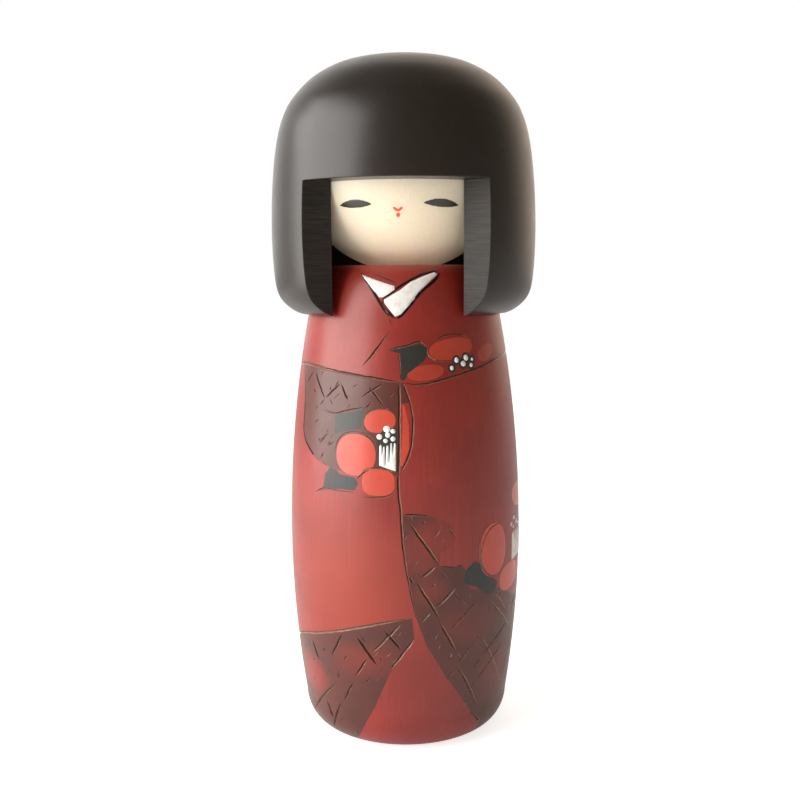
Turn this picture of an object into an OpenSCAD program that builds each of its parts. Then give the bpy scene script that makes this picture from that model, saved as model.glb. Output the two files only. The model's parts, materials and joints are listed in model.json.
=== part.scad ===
// Turned wooden kokeshi doll: a solid kimono body, a pale head that turns on a dowel,
// and a bell of bobbed hair bored to fit over the head, with a window cut for the face.
// Millimetres, +Z up, the front of the doll looks along -Y.
// Origin: on the turning axis, in the plane of the flat foot.

/* [Kimono body] */

// Largest diameter of the body
body_d = 66.5; // [50:0.5:90]
// Height of the largest diameter above the foot
belly_z = 56; // [30:1:80]
// Diameter the side curve would reach at the foot plane
foot_d = 56.2; // [40:0.2:80]
// Diameter of the side at the shoulder line
shoulder_d = 54.2; // [40:0.2:80]
// Height of the shoulder line
shoulder_z = 120; // [100:1:140]
// Top face of the body, under the head
body_h = 132.5; // [110:0.5:160]
// Diameter of the flat top of the body, with the dish for the head in its middle
seat_d = 40; // [24:1:50]
// Rounding of the foot edge, measured up the side
foot_round = 9; // [1:0.5:14]
// Rounding of the foot edge, measured inwards
foot_inset = 7; // [1:0.5:12]

/* [Head] */

// Diameter of the head, the same as the bore of the hair
head_d = 58; // [40:0.5:70]
// Gap between the body's dish and the head
seat_gap = 0.2; // [0.1:0.05:0.6]
// Height of the rounding under the chin
chin_h = 26; // [6:0.5:32]
// Depth of the head in the body's dish
dish_depth = 1.8; // [0.5:0.1:3]
// Top of the head, at the floor of the bore
head_top = 172; // [160:0.5:178]

/* [Hair] */

// Full height of the doll
doll_h = 190; // [150:1:240]
// Largest diameter of the hair
hair_d = 74.4; // [60:0.2:100]
// Height of the largest diameter of the hair
hair_belly_z = 141; // [130:1:155]
// Height of the rim of the hair
rim_z = 119; // [110:0.5:130]
// Height of the cut edge of the fringe
fringe_z = 154.2; // [145:0.2:165]
// Half the width of the face window at the bore
window_x = 17.4; // [10:0.1:24]
// Angle of the window's cheeks from the frontal plane
cheek_a = 35; // [10:1:70]

/* [Neck peg] */

// Diameter of the dowel
peg_d = 10; // [6:0.5:16]
// Length of the dowel inside the body
peg_in_body = 24; // [12:1:40]
// Length of the dowel inside the head
peg_in_head = 18; // [10:1:30]
// Space around the dowel in the body's socket
peg_clear = 0.05; // [0.02:0.01:0.1]
// Space left under the end of the dowel
peg_end_gap = 1; // [0.5:0.5:4]

/* [Hidden] */

$fn = 96;
eps = 0.01;

body_r = body_d / 2;
k_low = (body_r - foot_d / 2) / pow(belly_z, 2);
k_up = (body_r - shoulder_d / 2) / pow(shoulder_z - belly_z, 2);
head_r = head_d / 2;
head_z0 = body_h + seat_gap - dish_depth;
dish_a = acos(1 - dish_depth / chin_h);
seat_r = seat_d / 2;
hair_r = hair_d / 2;
crown = doll_h - hair_belly_z;
skirt = hair_belly_z - rim_z;

// Radius of the body's side at a height: two parabolas that meet at the belly.
function side_r(z) = body_r - (z < belly_z ? k_low : k_up) * pow(z - belly_z, 2);

// A point of the rounded underside of the head, at an angle from straight down.
function chin(a, z) = [head_r * sin(a), z + chin_h * (1 - cos(a))];

// A smooth curve through a list of points (Catmull-Rom), n steps to each span.
function cr(a, b, c, d, t) =
    0.5 * (2 * b + (c - a) * t + (2 * a - 5 * b + 4 * c - d) * t * t + (3 * b - a - 3 * c + d) * t * t * t);
function through(p, n) = [
    for (i = [1 : len(p) - 3], s = [0 : n - 1]) cr(p[i - 1], p[i], p[i + 1], p[i + 2], s / n)
];

// Half-section of the hair from the rim to the crown, as shares of its radius, skirt and crown.
// The first and last entries only steer the ends of the curve.
hair_pts = [
    [hair_r * 0.62, rim_z - skirt * 0.05],
    [hair_r * 0.775, rim_z],
    [hair_r * 0.87, rim_z + skirt * 0.08],
    [hair_r * 0.95, rim_z + skirt * 0.23],
    [hair_r * 0.985, rim_z + skirt * 0.48],
    [hair_r, hair_belly_z],
    [hair_r * 0.99, hair_belly_z + crown * 0.26],
    [hair_r * 0.96, hair_belly_z + crown * 0.48],
    [hair_r * 0.91, hair_belly_z + crown * 0.64],
    [hair_r * 0.825, hair_belly_z + crown * 0.76],
    [hair_r * 0.66, hair_belly_z + crown * 0.88],
    [hair_r * 0.42, hair_belly_z + crown * 0.96],
    [0, doll_h],
    [-hair_r * 0.42, hair_belly_z + crown * 0.96],
];

// Solid turned body: flat foot with a rounded edge, swelling side, rounded shoulder,
// flat top with a dish for the head, and the blind socket for the dowel.
module kimono_body() {
    foot_r = side_r(foot_round);
    color([0.62, 0.2, 0.18])
    difference() {
        rotate_extrude()
        polygon(concat(
            [[0, 0]],
            [for (a = [0 : 10 : 80]) [foot_r - foot_inset * (1 - sin(a)), foot_round * (1 - cos(a))]],
            [for (i = [0 : 20]) let (z = foot_round + (shoulder_z - foot_round) * i / 20) [side_r(z), z]],
            [for (a = [10 : 10 : 80]) let (z = shoulder_z + (body_h - shoulder_z) * sin(a))
                [side_r(z) - (side_r(body_h) - seat_r) * (1 - cos(a)), z]],
            [[seat_r, body_h]],
            [for (i = [4 : -1 : 0]) chin(dish_a * i / 4, head_z0 - seat_gap)]
        ));
        translate([0, 0, body_h - peg_in_body - peg_end_gap])
            cylinder(d = peg_d + 2 * peg_clear, h = peg_in_body + peg_end_gap + 1);
    }
}

// Head: a plug that fills the bore of the hair, with a rounded chin and a blind hole for the dowel.
module head() {
    color([0.93, 0.87, 0.77])
    difference() {
        rotate_extrude()
        polygon(concat(
            [[0, head_z0]],
            [for (a = [9 : 9 : 90]) chin(a, head_z0)],
            [[head_r, head_top - 1], [head_r - 1, head_top], [0, head_top]]
        ));
        translate([0, 0, head_z0 - 1])
            cylinder(d = peg_d, h = body_h + peg_in_head - head_z0 + 1);
    }
}

// Hair: a turned bell with a flat-floored bore, and a window with oblique cheeks for the face.
module hair() {
    reach = 20;
    window_y = sqrt(pow(head_r, 2) - pow(window_x, 2));
    dx = cos(cheek_a);
    dy = sin(cheek_a);
    color([0.16, 0.14, 0.13])
    difference() {
        rotate_extrude()
            polygon(concat([[0, rim_z]], through(hair_pts, 4), [[0, doll_h]]));
        translate([0, 0, rim_z - 1])
            cylinder(r = head_r, h = head_top - rim_z + 1);
        translate([0, 0, rim_z - 5])
        linear_extrude(height = fringe_z - rim_z + 5)
            polygon([
                [-window_x + 6 * dx, -window_y + 6 * dy],
                [window_x - 6 * dx, -window_y + 6 * dy],
                [window_x + reach * dx, -window_y - reach * dy],
                [window_x + reach * dx, -hair_d],
                [-window_x - reach * dx, -hair_d],
                [-window_x - reach * dx, -window_y - reach * dy],
            ]);
    }
}

// Dowel: glued in the head, free to turn in the body's socket.
module neck_peg() {
    color([0.85, 0.74, 0.55])
    translate([0, 0, body_h - peg_in_body])
    rotate_extrude()
        polygon([
            [0, 0], [peg_d / 2 - 0.8, 0], [peg_d / 2, 0.8],
            [peg_d / 2, peg_in_body + peg_in_head], [0, peg_in_body + peg_in_head],
        ]);
}

kimono_body();
head();
hair();
neck_peg();
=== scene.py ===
# %% [markdown]
# # A turned kokeshi doll
# A kokeshi is turned on a lathe from a few blocks of pale hardwood, then stained, carved with
# a small knife and painted. This one has a body with a carved kimono, a pale head on a dowel,
# and a bell of bobbed hair bored to fit over the head. The fixed frame holds those solids at
# their true size, so this script only has to give each one its surface.

# %% Load the frame
import bpy
import bmesh
import json
import math
import random
import numpy as np
from mathutils import Matrix, Vector
from mathutils.geometry import delaunay_2d_cdt

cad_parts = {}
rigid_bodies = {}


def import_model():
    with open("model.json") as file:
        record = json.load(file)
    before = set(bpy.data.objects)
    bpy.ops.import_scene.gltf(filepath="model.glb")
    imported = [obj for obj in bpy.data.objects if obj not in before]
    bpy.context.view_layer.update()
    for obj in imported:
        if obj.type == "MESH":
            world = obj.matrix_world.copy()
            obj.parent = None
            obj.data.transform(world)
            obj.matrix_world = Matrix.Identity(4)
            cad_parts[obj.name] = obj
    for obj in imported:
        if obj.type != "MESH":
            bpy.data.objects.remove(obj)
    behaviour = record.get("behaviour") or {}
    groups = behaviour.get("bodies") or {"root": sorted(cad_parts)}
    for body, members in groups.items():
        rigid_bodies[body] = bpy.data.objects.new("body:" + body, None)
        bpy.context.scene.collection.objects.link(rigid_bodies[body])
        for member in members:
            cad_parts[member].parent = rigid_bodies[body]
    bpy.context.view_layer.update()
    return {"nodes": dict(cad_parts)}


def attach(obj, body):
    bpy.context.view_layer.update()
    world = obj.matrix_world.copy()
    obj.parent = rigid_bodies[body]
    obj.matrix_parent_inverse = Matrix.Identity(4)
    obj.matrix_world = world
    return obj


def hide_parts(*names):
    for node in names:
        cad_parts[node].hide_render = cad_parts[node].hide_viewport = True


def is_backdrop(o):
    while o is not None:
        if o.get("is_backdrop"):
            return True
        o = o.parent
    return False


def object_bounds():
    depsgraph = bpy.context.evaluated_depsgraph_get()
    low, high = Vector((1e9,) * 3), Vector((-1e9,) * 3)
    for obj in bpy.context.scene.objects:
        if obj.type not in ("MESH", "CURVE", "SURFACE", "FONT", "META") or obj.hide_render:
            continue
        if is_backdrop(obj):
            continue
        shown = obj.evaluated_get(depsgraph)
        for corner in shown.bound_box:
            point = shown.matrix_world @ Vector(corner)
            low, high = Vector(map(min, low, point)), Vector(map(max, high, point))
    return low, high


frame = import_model()
MM = 0.001
random.seed(19)

# %% [markdown]
# ## Camera
# A doll 19 cm tall looks natural through a short portrait lens held about 29 cm away, a little
# above its shoulders and a little to its left. The camera could be aimed with a constraint, but
# a matrix made from its own three turns is exact and leaves nothing to evaluate later.

# %% Camera
CAMERA_AWAY, CAMERA_UP = 0.291, 0.1303
camera_turn, camera_pitch, camera_roll = math.radians(4.05), math.radians(7.16), math.radians(-0.36)
camera_aim = math.radians(0.26)
camera_place = Vector((CAMERA_AWAY * math.sin(camera_turn), -CAMERA_AWAY * math.cos(camera_turn), CAMERA_UP))
looking = (Matrix.Rotation(camera_turn + camera_aim, 4, "Z")
           @ Matrix.Rotation(math.pi / 2 - camera_pitch, 4, "X")
           @ Matrix.Rotation(camera_roll, 4, "Z"))
camera = bpy.data.objects.new("studio_camera", bpy.data.cameras.new("studio_camera"))
camera.data.lens, camera.data.sensor_width = 45.45, 36.0
camera.data.clip_start, camera.data.clip_end = 0.01, 20.0
camera.matrix_world = Matrix.Translation(camera_place) @ looking
bpy.context.collection.objects.link(camera)
bpy.context.scene.camera = camera
bpy.context.scene.view_settings.view_transform = "Standard"
print("camera stands at", [round(v / MM) for v in camera_place], "mm")

# %% [markdown]
# ## Helpers for finishes
# Stains and paints are given as sRGB hex values, and one function turns them to the linear numbers the shader
# works in. A second one adds a node, sets it up and links it, which keeps each recipe below short enough to
# read as a recipe. A colour ramp takes its stops there too: a hex value is a colour and a plain number is a
# grey.

# %% Colour and node helpers
RAMP, MIX, SPREAD, PLACE = "ShaderNodeValToRGB", "ShaderNodeMix", "ShaderNodeMapRange", "ShaderNodeTexCoord"


def chip(hex_code):
    parts = [int(hex_code[i:i + 2], 16) / 255 for i in (1, 3, 5)]
    return tuple(c / 12.92 if c <= 0.04045 else ((c + 0.055) / 1.055) ** 2.4 for c in parts) + (1.0,)


def add(tree, kind, sockets=None, stops=(), **settings):
    made = tree.nodes.new(kind)
    for key, value in settings.items():
        setattr(made, key, value)
    for key, value in (sockets or {}).items():
        if isinstance(value, bpy.types.NodeSocket):
            tree.links.new(value, made.inputs[key])
        else:
            made.inputs[key].default_value = value
    for (at, tone), mark in zip(stops, made.color_ramp.elements if stops else ()):
        mark.position = at
        mark.color = chip(tone) if isinstance(tone, str) else (tone, tone, tone, 1.0)
    return made


# %% [markdown]
# ## Wood fibres
# The blocks are turned with the grain upright, so the fibres run along Z. Real fibres of such a
# pale, close-grained wood are about 0.1 mm across, too fine to show here, so they are drawn
# 0.5 mm wide and 25 mm long: a noise stretched along Z. Every finish below starts from such a
# pattern. With one size it is an even cloud, for stain that soaked in unevenly.

# %% Patterns by their size in millimetres
def pattern(tree, across_mm, along_mm=None, detail=4.0):
    even = along_mm is None
    scale = (1000 / across_mm, 1000 / across_mm, 1000 / (across_mm if even else along_mm))
    sized = add(tree, "ShaderNodeMapping", {"Vector": add(tree, PLACE).outputs["Object"], "Scale": scale})
    noise = add(tree, "ShaderNodeTexNoise", {"Vector": sized.outputs[0], "Scale": 1.0, "Detail": detail,
                                             "Roughness": 0.5 if even else 0.6})
    return noise.outputs["Fac"]


# %% [markdown]
# ## One way to begin and end a finish
# Each finish is an empty tree that ends in one surface shader. The relief is the height of the
# fibres or brush ridges: a pattern, its depth in millimetres and how much of it shows. Most
# finishes are two tones of one material, so those have a short form.

# %% Begin, end and the short form
def new_finish(name):
    finish = bpy.data.materials.new(name)
    finish.use_nodes = True
    finish.node_tree.nodes.clear()
    return finish, finish.node_tree


def end_finish(tree, relief, **sockets):
    settings = {key.replace("_", " "): value for key, value in sockets.items()}
    if relief:
        height, depth_mm, shows = relief
        raised = add(tree, "ShaderNodeBump", {"Height": height, "Distance": depth_mm * MM, "Strength": shows})
        settings["Normal"] = raised.outputs["Normal"]
    shader = add(tree, "ShaderNodeBsdfPrincipled", settings)
    add(tree, "ShaderNodeOutputMaterial", {"Surface": shader.outputs[0]})
    print("finish of", len(tree.nodes), "nodes")


def two_toned(name, tone_size, tones, relief_size=None, depth_mm=0.0, shows=0.0, **sockets):
    finish, tree = new_finish(name)
    tone = add(tree, RAMP, {"Fac": pattern(tree, *tone_size)}, tones)
    relief = (pattern(tree, *relief_size), depth_mm, shows) if relief_size else None
    end_finish(tree, relief, Base_Color=tone.outputs[0], **sockets)
    return finish


# %% [markdown]
# ## Red stain under satin lacquer
# The body is stained with a red dye that soaks into the fibres, so the colour is slightly uneven, darker
# where the wood drinks more, and more orange in one place low in front. A brown stain is brushed over it
# where the kimono is patterned. How much brown lies where comes from a value stored on the mesh, called
# `brown`. The satin lacquer over both is a soft, wide gloss, with the fibres faintly raised.

# %% Red stain
stained_wood, tree = new_finish("red_stained_hardwood_satin_lacquer")
streaks = pattern(tree, 0.5, 25.0)
soaked = add(tree, RAMP, {"Fac": pattern(tree, 16.0, None, 3.0)}, [(0.35, 0.0), (0.75, 0.6)])
red = add(tree, RAMP, {"Fac": streaks}, [(0.2, "#89221A"), (0.8, "#A63124")])
red = add(tree, MIX, {0: soaked.outputs[0], 6: red.outputs[0], 7: chip("#7A1C15")}, data_type="RGBA")
# The red turns more orange round one spot low in front.
ORANGE_SPOT_CENTRE = (-0.010, -0.031, 0.045)
to_orange_spot = add(tree, "ShaderNodeVectorMath", {0: add(tree, PLACE).outputs["Object"], 1: ORANGE_SPOT_CENTRE},
                    operation="DISTANCE")
orange_spot = add(tree, SPREAD, {0: to_orange_spot.outputs["Value"], 1: 0.006, 2: 0.030, 3: 0.45, 4: 0.0},
           interpolation_type="SMOOTHSTEP")
red = add(tree, MIX, {0: orange_spot.outputs[0], 6: red.outputs[2], 7: chip("#AE422A")}, data_type="RGBA")

# %% Brown stain over it
soaked = add(tree, RAMP, {"Fac": pattern(tree, 7.0, None, 3.0)}, [(0.35, 0.0), (0.7, 0.6)])
brown = add(tree, RAMP, {"Fac": streaks}, [(0.2, "#4A1E14"), (0.8, "#582317")])
brown = add(tree, MIX, {0: soaked.outputs[0], 6: brown.outputs[0], 7: chip("#682418")}, data_type="RGBA")
brown_here = add(tree, "ShaderNodeAttribute", attribute_name="brown").outputs["Fac"]
stain = add(tree, MIX, {0: brown_here, 6: red.outputs[2], 7: brown.outputs[2]}, data_type="RGBA")
satin = add(tree, RAMP, {"Fac": pattern(tree, 5.0, None, 3.0)}, [(0.3, 0.40), (0.7, 0.46)])
end_finish(tree, (streaks, 0.02, 0.6), Base_Color=stain.outputs[2], Roughness=satin.outputs[0],
           IOR=1.5, Coat_Weight=0.3, Coat_Roughness=0.25, Coat_IOR=1.5)

# %% [markdown]
# ## Inside the carved lines
# A line is two strokes of a knife that leave a V, stained dark inside. The wall that faces left and up,
# towards the panel light, takes a pale bare-wood finish as a painted highlight. The wall turned away takes a
# dark finish, the dark stain with painted shade. The pale bank and the dark one lie side by side, which is
# what makes a thin line read.

# %% Carved lines
# Dark stain plus painted shade for the wall turned away from the light; pale wood as a painted highlight for
# the lit wall.
carved_stain_and_shade = two_toned("knife_cut_dark_stain_and_painted_shade", (0.4, 6.0), [(0.3, "#2A1613"), (0.75, "#452620")],
                        (0.35, 3.0), 0.05, 0.7, Roughness=0.34, IOR=1.5, Coat_Weight=0.5, Coat_Roughness=0.18)
bare_and_painted_lit_bank = two_toned("knife_cut_bare_wood_painted_lit", (0.4, 3.0), [(0.3, "#74483A"), (0.7, "#AC826A")],
                      (0.35, 3.0), 0.05, 0.7, Roughness=0.36, IOR=1.5, Coat_Weight=0.6, Coat_Roughness=0.2)

# %% [markdown]
# ## Petals and leaves
# The camellias are brushed in an opaque orange-red and the leaves in a greenish black. Both
# are thin poster colours under the same lacquer: a little streaked along the brush, slightly
# duller than the stain around them. Where `brown` isn't nought inside a petal, the paint there
# is thin and the dark red of the stain shows through it.

# %% Petal and leaf paint
petal_paint, tree = new_finish("orange_red_brushed_paint")
worked = add(tree, RAMP, {"Fac": pattern(tree, 6.0, None, 3.0)}, [(0.3, 0.0), (0.75, 0.8)])
paint = add(tree, RAMP, {"Fac": pattern(tree, 0.6, 9.0)}, [(0.2, "#CC3F26"), (0.8, "#D54A2E")])
paint = add(tree, MIX, {0: worked.outputs[0], 6: paint.outputs[0], 7: chip("#C23822")}, data_type="RGBA")
thin_here = add(tree, "ShaderNodeAttribute", attribute_name="brown").outputs["Fac"]
paint = add(tree, MIX, {0: thin_here, 6: paint.outputs[2], 7: chip("#7C261C")}, data_type="RGBA")
satin = add(tree, RAMP, {"Fac": pattern(tree, 3.0, None, 3.0)}, [(0.3, 0.38), (0.7, 0.44)])
end_finish(tree, (pattern(tree, 0.5, 8.0), 0.02, 0.4), Base_Color=paint.outputs[2],
           Roughness=satin.outputs[0], IOR=1.5, Coat_Weight=0.6, Coat_Roughness=0.3)
leaf_paint = two_toned("greenish_black_brushed_paint", (0.6, 7.0), [(0.25, "#252521"), (0.8, "#31312B")],
                       (0.5, 7.0), 0.03, 0.6, Roughness=0.42, IOR=1.5, Coat_Weight=0.2, Coat_Roughness=0.25)

# %% [markdown]
# ## White relief paint
# The collar, the stamens and the pollen are laid on thick with a loaded brush, so they stand
# proud with soft edges. Old lime-white paint is matt to satin, a little warm, with fine brush
# ridges.

# %% White paint
white_paint = two_toned("thick_lime_white_paint", (1.6, None, 5.0), [(0.3, "#E8E5E0"), (0.65, "#FAF9F6")],
                        (0.35, 4.0), 0.06, 0.7, Roughness=0.5, IOR=1.5)

# %% [markdown]
# ## Pale head
# The head is the bare pale wood itself, sealed and polished to a satin skin. It has hardly any
# figure: a cream ground, faint upright fibres and a warmer tone in broad clouds. Light goes a
# few millimetres into such pale wood, and the red of the mouth was rubbed out a little round it.

# %% Pale wood
pale_wood, tree = new_finish("pale_dogwood_satin_lacquer")
fibres = pattern(tree, 0.5, 30.0)
warmed = add(tree, RAMP, {"Fac": pattern(tree, 22.0, None, 3.0)}, [(0.35, 0.0), (0.75, 0.5)])
wood = add(tree, RAMP, {"Fac": fibres}, [(0.2, "#E6D9C2"), (0.8, "#EFE5D2")])
wood = add(tree, MIX, {0: warmed.outputs[0], 6: wood.outputs[0], 7: chip("#E6D6BB")}, data_type="RGBA")
ROUND_THE_MOUTH = (0.0005, -0.029, 0.146)
to_mouth = add(tree, "ShaderNodeVectorMath", {0: add(tree, PLACE).outputs["Object"], 1: ROUND_THE_MOUTH},
               operation="DISTANCE")
flush = add(tree, SPREAD, {0: to_mouth.outputs["Value"], 1: 0.0012, 2: 0.0030, 3: 0.45, 4: 0.0})
skin = add(tree, MIX, {0: flush.outputs[0], 6: wood.outputs[2], 7: chip("#F2B79C")}, data_type="RGBA")
end_finish(tree, (fibres, 0.012, 0.5), Base_Color=skin.outputs[2],
           Roughness=0.38, IOR=1.5, Coat_Weight=0.2, Coat_Roughness=0.25,
           Subsurface_Weight=0.6, Subsurface_Radius=(0.0050, 0.0028, 0.0014), Subsurface_Scale=1.0)

# %% [markdown]
# ## Hair
# The hair is the same wood under several coats of brown-black lacquer, rubbed to an even satin.
# Its gloss is wide, so the studio shows in it as soft grey fields without edges. Where the
# window was cut, the saw left fine level lines in the cheeks, and the lacquer there is thinner.

# %% Hair lacquer and sawn cheeks
hair_lacquer, tree = new_finish("brown_black_satin_lacquer")
lacquer = add(tree, RAMP, {"Fac": pattern(tree, 0.6, 40.0)}, [(0.2, "#1E1814"), (0.8, "#29211B")])
satin = add(tree, RAMP, {"Fac": pattern(tree, 7.0, None, 3.0)}, [(0.3, 0.33), (0.7, 0.38)])
end_finish(tree, (pattern(tree, 0.6, 30.0), 0.006, 0.5), Base_Color=lacquer.outputs[0],
           Roughness=satin.outputs[0], IOR=1.5, Coat_Weight=0.1, Coat_Roughness=0.3, Coat_IOR=1.5)
sawn_cheek = two_toned("sawn_end_of_lacquered_wood", (9.0, 0.35, 3.0), [(0.3, "#13100E"), (0.75, "#38312B")],
                       (9.0, 0.35, 3.0), 0.10, 0.8, Roughness=0.5, IOR=1.4)

# %% [markdown]
# ## Inks and the bare dowel
# The eyes are a dark umber ink that dries with some gloss, the mouth a vermilion one that
# dries duller. The dowel is beech straight from the lathe, with no finish at all.

# %% Inks and dowel
eye_paint = two_toned("dark_umber_ink", (1.5, None, 3.0), [(0.3, "#1C1513"), (0.7, "#241C19")],
                      Roughness=0.35, IOR=1.5, Coat_Weight=0.8, Coat_Roughness=0.3)
lip_paint = two_toned("vermilion_ink", (1.2, None, 3.0), [(0.3, "#E4502A"), (0.7, "#EA5E36")],
                      Roughness=0.45, IOR=1.5)
dowel_wood = two_toned("bare_beech_dowel", (0.4, 12.0), [(0.25, "#C9A878"), (0.8, "#DCC298")],
                       (0.4, 12.0), 0.05, 0.7, Roughness=0.65, IOR=1.5)
dowel = frame["nodes"]["neck_peg"]
dowel.data.materials.clear()
dowel.data.materials.append(dowel_wood)
print("finishes:", len(bpy.data.materials))

# %% [markdown]
# ## The body's outline
# A lathe makes a shape from one line: radius against height. The kimono's side is two shallow
# curves that meet at the belly, the foot edge is rounded and the shoulder rolls over to a
# flat top with a shallow dish for the head. The line is kept as a list of points walked from
# the middle of the foot up to the bottom of the dowel's socket, together with the distance
# walked. That distance and the angle round the axis are a flat map of the whole surface, and
# the carving is drawn on it.

# %% Body outline
BODY_R, BELLY_Z, SHOULDER_Z, BODY_TOP, SEAT_R, SOCKET_R = 33.25, 56.0, 120.0, 132.5, 20.0, 5.05
HEAD_R, CHIN_H, DISH_Z = 29.0, 26.0, 130.7
FOOT_ROUND, FOOT_INSET, SHOULDER_ROUND = 9, 7, 12.5
FOOT_R, SHOULDER_R = 28.1, 27.1


def side_radius(z):
    below = (BODY_R - FOOT_R) / BELLY_Z ** 2
    above = (BODY_R - SHOULDER_R) / (SHOULDER_Z - BELLY_Z) ** 2
    return BODY_R - (below if z < BELLY_Z else above) * (z - BELLY_Z) ** 2


def walk(*stretches):
    line = [p for stretch in stretches for p in stretch]
    r, z = np.array(line).T
    walked = np.concatenate([[0], np.cumsum(np.hypot(np.diff(r), np.diff(z)))])
    return r, z, walked


quarter = np.radians(np.arange(0, 90, 5))
foot_edge = side_radius(FOOT_ROUND)
roll = side_radius(BODY_TOP) - SEAT_R
foot = [(0, 0), (1, 0), (5, 0), (10, 0), (15, 0), (20, 0), (22, 0)]
eased = [(foot_edge - FOOT_INSET * (1 - math.sin(a)), FOOT_ROUND * (1 - math.cos(a))) for a in quarter]
side = [(side_radius(z), z) for z in np.linspace(FOOT_ROUND, SHOULDER_Z, 90)[:-1]]
rise = [SHOULDER_Z + SHOULDER_ROUND * math.sin(a) for a in quarter]
shoulder = [(side_radius(z) - roll * (1 - math.cos(a)), z) for a, z in zip(quarter, rise)]
dish_edge = math.acos(1 - (BODY_TOP - DISH_Z) / CHIN_H)
seat = [(SEAT_R, BODY_TOP), (15, BODY_TOP)] + [
    (HEAD_R * math.sin(a), DISH_Z + CHIN_H * (1 - math.cos(a)))
    for a in np.linspace(dish_edge, math.asin(SOCKET_R / HEAD_R), 6)]
socket = [(SOCKET_R, 126), (SOCKET_R, 117), (SOCKET_R, 107.5), (2.5, 107.5), (0, 107.5)]
body_r, body_z, body_s = walk(foot, eased, side, shoulder, seat, socket)
print("outline points:", len(body_s), "walk of", round(body_s[-1]), "mm; widest", body_r.max() * 2)

# %% [markdown]
# ## The flat map
# `chart` turns an angle (degrees from the front, positive towards the doll's left hand) and a
# height into the map, and `to_surface` takes any point of the map back to the wood, sunk or
# lifted by some amount. Drawing on the map is as easy as drawing on paper.

# %% Map to surface and back
outer = slice(len(foot), len(foot) + len(eased) + len(side) + len(shoulder))


def chart(points):
    a, z = np.array(points, float).T
    return np.column_stack([np.radians(a) * BODY_R, np.interp(z, body_z[outer], body_s[outer])])


def to_surface(flat, lift=0.0, line=None, ring=BODY_R):
    r_of, z_of, s_of = line or (body_r, body_z, body_s)
    angle, s = flat[:, 0] / ring, flat[:, 1]
    r, z = np.interp(s, s_of, r_of), np.interp(s, s_of, z_of)
    dr = (np.interp(s + 0.4, s_of, r_of) - np.interp(s - 0.4, s_of, r_of))
    dz = (np.interp(s + 0.4, s_of, z_of) - np.interp(s - 0.4, s_of, z_of))
    size = np.maximum(np.hypot(dr, dz), 1e-9)
    nr, nz = dz / size, -dr / size
    out_r, out_z = r + nr * lift, z + nz * lift
    places = np.column_stack([out_r * np.sin(angle), -out_r * np.cos(angle), out_z]) * MM
    normals = np.column_stack([nr * np.sin(angle), -nr * np.cos(angle), nz])
    return places, normals


def curve_through(p, steps):
    t = np.linspace(0, 1, steps, endpoint=False)[:, None]
    spans = [0.5 * (2 * b + (c - a) * t + (2 * a - 5 * b + 4 * c - d) * t ** 2
                    + (3 * b - a - 3 * c + d) * t ** 3)
             for a, b, c, d in zip(p, p[1:], p[2:], p[3:])]
    return np.vstack(spans + [p[-2:-1]])


def smooth_path(points, step):
    p = np.array(points, float)
    if len(p) > 2:
        p = curve_through(np.vstack([2 * p[0] - p[1], p, 2 * p[-1] - p[-2]]), 16)
    gone = np.concatenate([[0], np.cumsum(np.linalg.norm(np.diff(p, axis=0), axis=1))])
    marks = np.linspace(0, gone[-1], max(3, int(gone[-1] / step) + 1))
    return np.column_stack([np.interp(marks, gone, p[:, 0]), np.interp(marks, gone, p[:, 1])])


def inside(points, outline):
    x, y = points.T
    hit = np.zeros(len(points), bool)
    for (x0, y0), (x1, y1) in zip(outline, np.roll(outline, -1, axis=0)):
        crosses = (y0 > y) != (y1 > y)
        with np.errstate(divide="ignore", invalid="ignore"):
            hit ^= crosses & (x < (x1 - x0) * (y - y0) / (y1 - y0) + x0)
    return hit


# %% [markdown]
# ## The knife's lines
# Each line is given by a few points and its widest width in millimetres. The knife enters
# thin, widens and leaves thin, so the width swells along the line, and the hand wavers a
# tenth of a millimetre. A line becomes three chains of edges on the map: two banks and a bed.

# %% Knife line
banks, beds = [], []


def carve(points, width=0.9, start=0.25, end=0.25, deep=0.75, drawn=None):
    flat = smooth_path(chart(points) if drawn is None else drawn, 1.1)
    count = len(flat)
    along = np.linspace(0, 1, count)
    heading = np.gradient(flat, axis=0)
    across = np.column_stack([-heading[:, 1], heading[:, 0]]) / np.linalg.norm(heading, axis=1)[:, None]
    waver = np.array([random.uniform(-0.08, 0.08) for _ in range(count)])
    waver[[0, -1]] = 0
    flat = flat + across * waver[:, None]
    swell = np.minimum(np.minimum(along / start, (1 - along) / end), 1) ** 0.6
    half = width / 2 * np.maximum(swell, 0.0) * np.array([random.uniform(0.88, 1.08) for _ in range(count)])
    half[[0, -1]] = 0
    beds.append((flat, half, deep))
    inner = slice(1, -1)
    reach = across[inner] * half[inner, None]
    banks.append((flat, flat[inner] + reach, flat[inner] - reach))


# %% [markdown]
# ## Carving the kimono
# The design is the usual one for such a doll: the overlap of the kimono runs down the front,
# a sleeve lies across it, and a net of crossed lines fills the sleeve and the hem, with
# camellias on top. Angles are degrees from the front and heights are millimetres.

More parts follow.
